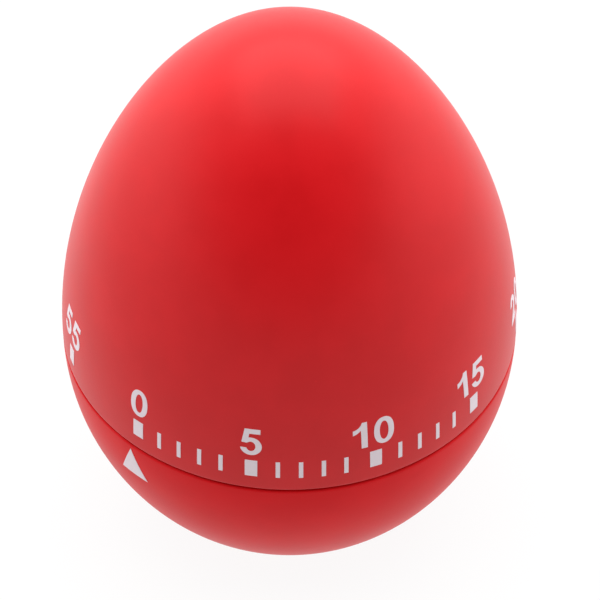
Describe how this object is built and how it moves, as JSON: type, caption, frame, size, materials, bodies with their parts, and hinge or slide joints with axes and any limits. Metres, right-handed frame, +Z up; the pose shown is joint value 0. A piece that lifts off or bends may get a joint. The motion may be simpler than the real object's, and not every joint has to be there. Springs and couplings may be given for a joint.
{
  "type": "kitchen timer",
  "caption": "Egg-shaped wind-up kitchen timer. The dome carries a minute scale and turns on a flat-footed base to wind the spring and set the time.",
  "frame": {"origin": "centre of the flat foot, on the surface that the timer stands on", "axes": "+Z up along the axis that the dome turns about; -Y towards the printed pointer on the base"},
  "size_m": [0.06, 0.06, 0.0755],
  "materials": {
    "red_plastic": "fine matt soft-touch moulded plastic",
    "natural_plastic": "natural moulded plastic",
    "steel": "zinc plated, lightly brushed",
    "spring_steel": "blued",
    "brass": "stamped and tumbled",
    "nickel": "nickel plated"
  },
  "bodies": {
    "case": {"lower_shell": "red_plastic", "lower_plate": "steel", "upper_plate": "steel", "pillar_1": "steel", "pillar_2": "steel", "pillar_3": "steel", "pillar_screw_1": "steel", "pillar_screw_2": "steel", "pillar_screw_3": "steel", "case_screw_1": "steel", "case_screw_2": "steel", "case_screw_3": "steel", "housing_screw_1": "steel", "housing_screw_2": "steel", "spring_housing": "steel", "mainspring": "spring_steel", "bell": "nickel", "bell_nut": "brass", "stop_pin": "steel", "hammer_spring": "spring_steel"},
    "dial": {"upper_shell": "red_plastic", "dial_carrier": "natural_plastic", "carrier_screw_1": "steel", "carrier_screw_2": "steel", "carrier_screw_3": "steel", "main_arbor": "steel", "main_wheel": "brass", "ratchet_wheel": "steel", "click": "steel", "click_rivet": "brass", "click_spring": "spring_steel", "arbor_clip": "spring_steel", "strike_cam": "brass"},
    "second_arbor": {"second_pinion": "steel", "second_wheel": "brass"},
    "third_arbor": {"third_pinion": "steel", "third_wheel": "brass"},
    "escape_arbor": {"escape_pinion": "steel", "escape_wheel": "brass"},
    "balance": {"balance_staff": "steel", "balance_wheel": "brass", "pallet_lever": "steel"},
    "hammer": {"hammer_arbor": "steel", "hammer_arm": "steel", "hammer_tail": "steel", "striker": "brass"}
  },
  "joints": [
    {"name": "dial_turn", "type": "hinge", "parent": "case", "child": "dial", "pos_m": [0, 0, 0.02], "axis": [0, 0, -1], "range_deg": [0, 342], "deforming": ["mainspring"]},
    {"name": "second_spin", "type": "hinge", "parent": "case", "child": "second_arbor", "pos_m": [-0.01368, 0, 0.02], "axis": [0, 0, -1], "range_deg": [-2736, 0]},
    {"name": "third_spin", "type": "hinge", "parent": "case", "child": "third_arbor", "pos_m": [-0.01064, 0.00911, 0.02], "axis": [0, 0, -1], "range_deg": [0, 19152]},
    {"name": "escape_spin", "type": "hinge", "parent": "case", "child": "escape_arbor", "pos_m": [-0.00352, 0.01356, 0.02], "axis": [0, 0, -1], "range_deg": [-114912, 0]},
    {"name": "balance_swing", "type": "hinge", "parent": "case", "child": "balance", "pos_m": [0.00247, 0.01379, 0.02], "axis": [0, 0, 1], "range_deg": [-6, 6]},
    {"name": "hammer_drop", "type": "hinge", "parent": "case", "child": "hammer", "pos_m": [0.01458, -0.01021, 0.02], "axis": [0, 0, -1], "range_deg": [0, 4.8], "stiffness_Nm_per_rad": 0.0002}
  ],
  "couplings": [
    {"joint": "second_spin", "follows": "dial_turn", "ratio": -8},
    {"joint": "third_spin", "follows": "dial_turn", "ratio": 56},
    {"joint": "escape_spin", "follows": "dial_turn", "ratio": -336}
  ]
}
